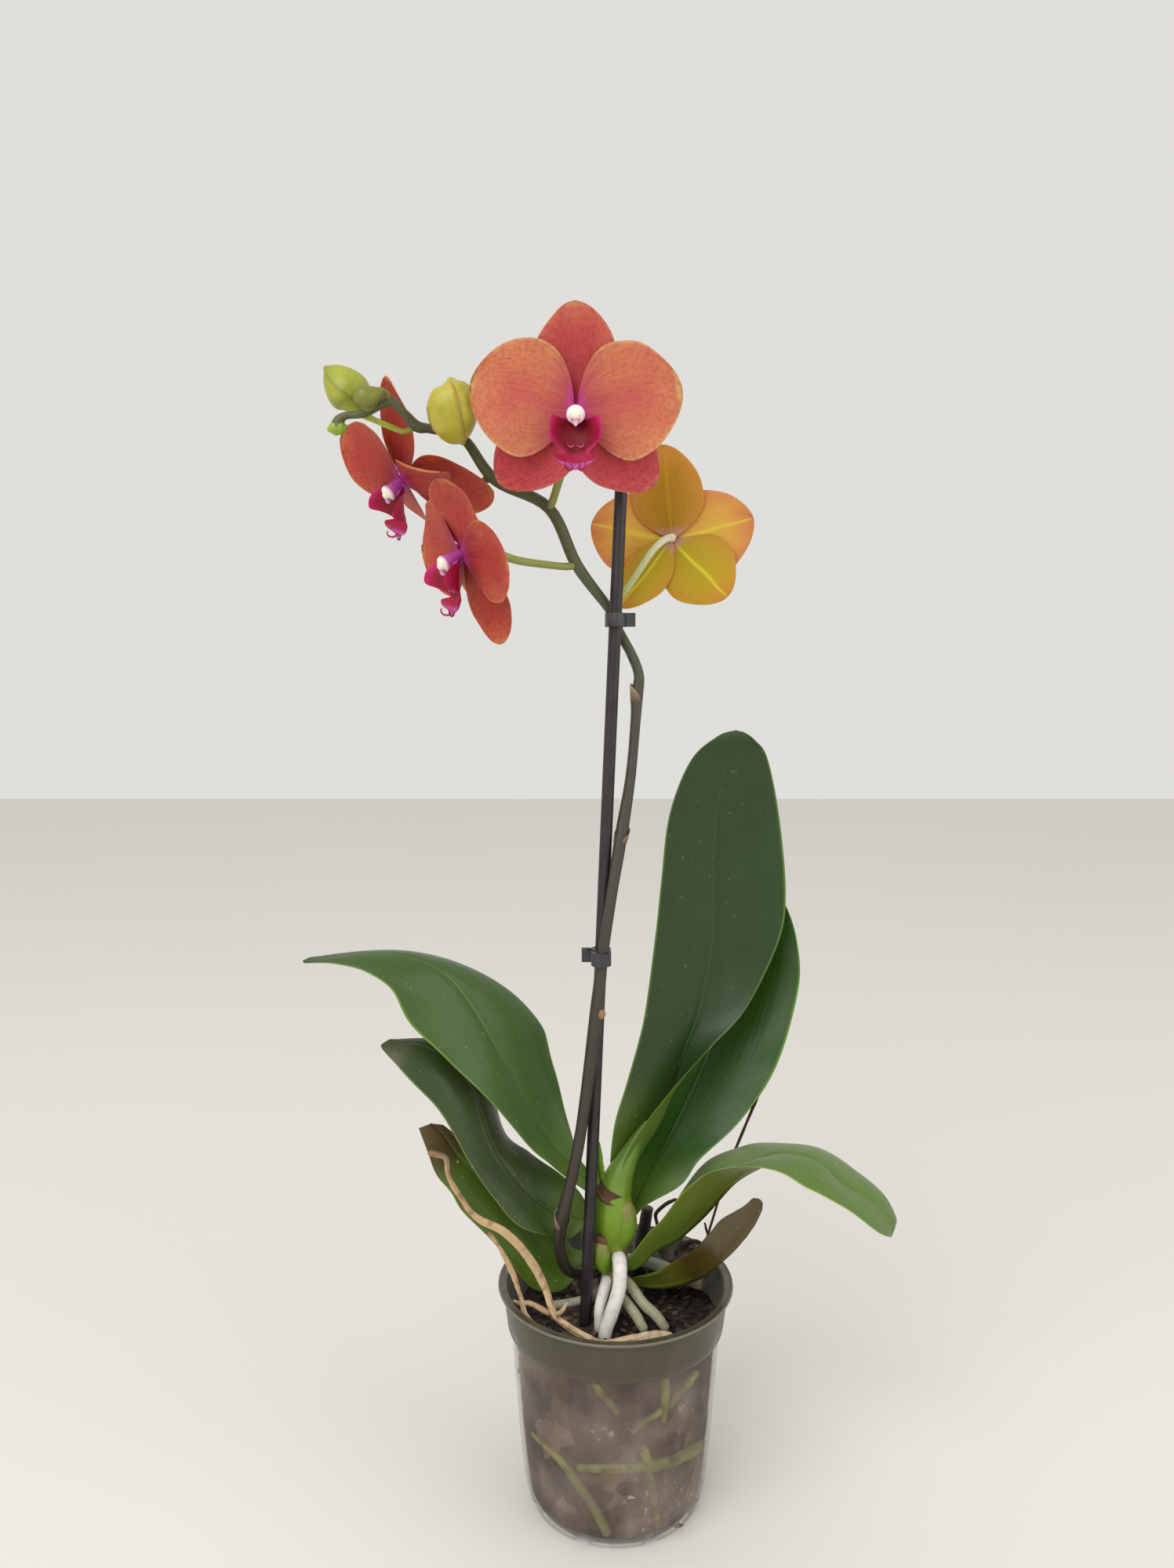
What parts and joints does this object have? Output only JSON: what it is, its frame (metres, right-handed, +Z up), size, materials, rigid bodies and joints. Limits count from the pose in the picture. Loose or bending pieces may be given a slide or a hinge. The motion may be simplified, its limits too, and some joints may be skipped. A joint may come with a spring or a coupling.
{
  "type": "potted orchid",
  "caption": "Moth orchid in a clear nursery pot, with arching leaves, aerial roots and a staked flower spike bearing open flowers and buds.",
  "frame": {"origin": "centre of the underside of the pot's base, on the table", "axes": "+Z up along the plant; +X to the right and +Y away from a viewer who looks at the front of the large flower"},
  "size_m": [0.2964, 0.1405, 0.5856],
  "materials": {
    "clear_plastic": "translucent, soft gloss",
    "bark": "rough, damp",
    "leaf": "waxy semi-gloss",
    "stem": "waxy",
    "spike": "satin",
    "bud": "satin",
    "root": "matte",
    "dry_root": "matte, papery",
    "petal": "velvety",
    "lip": "glossy",
    "column": "waxy",
    "stake": "satin",
    "clip": "satin"
  },
  "bodies": {
    "root": {"bud_large": "bud", "bud_left": "bud", "bud_round": "bud", "clip_lower": "clip", "clip_upper": "clip", "cut_spike_stub": "spike", "flower_front_column": "column", "flower_front_lip": "lip", "flower_front_petal_left": "petal", "flower_front_petal_right": "petal", "flower_front_sepal_left": "petal", "flower_front_sepal_right": "petal", "flower_front_sepal_top": "petal", "flower_left_column": "column", "flower_left_lip": "lip", "flower_left_petal_left": "petal", "flower_left_petal_right": "petal", "flower_left_sepal_left": "petal", "flower_left_sepal_right": "petal", "flower_left_sepal_top": "petal", "flower_lower_column": "column", "flower_lower_lip": "lip", "flower_lower_petal_left": "petal", "flower_lower_petal_right": "petal", "flower_lower_sepal_left": "petal", "flower_lower_sepal_right": "petal", "flower_lower_sepal_top": "petal", "flower_rear_column": "column", "flower_rear_lip": "lip", "flower_rear_petal_left": "petal", "flower_rear_petal_right": "petal", "flower_rear_sepal_left": "petal", "flower_rear_sepal_right": "petal", "flower_rear_sepal_top": "petal", "flower_spike": "spike", "leaf_left_low": "leaf", "leaf_left_middle": "leaf", "leaf_left_upper": "leaf", "leaf_new": "leaf", "leaf_right_arching": "leaf", "leaf_right_low": "leaf", "leaf_right_rear": "leaf", "leaf_right_upper": "leaf", "pedicel_front": "spike", "pedicel_left": "spike", "pedicel_lower": "spike", "pedicel_rear": "spike", "pot": "clear_plastic", "potting_medium": "bark", "root_dry_long": "dry_root", "root_dry_short": "dry_root", "root_front_middle": "root", "root_front_right": "root", "root_left_flat": "root", "root_right_flat": "root", "root_white_front": "root", "root_white_rear": "root", "stake": "stake", "stem": "stem"}
  },
  "joints": []
}
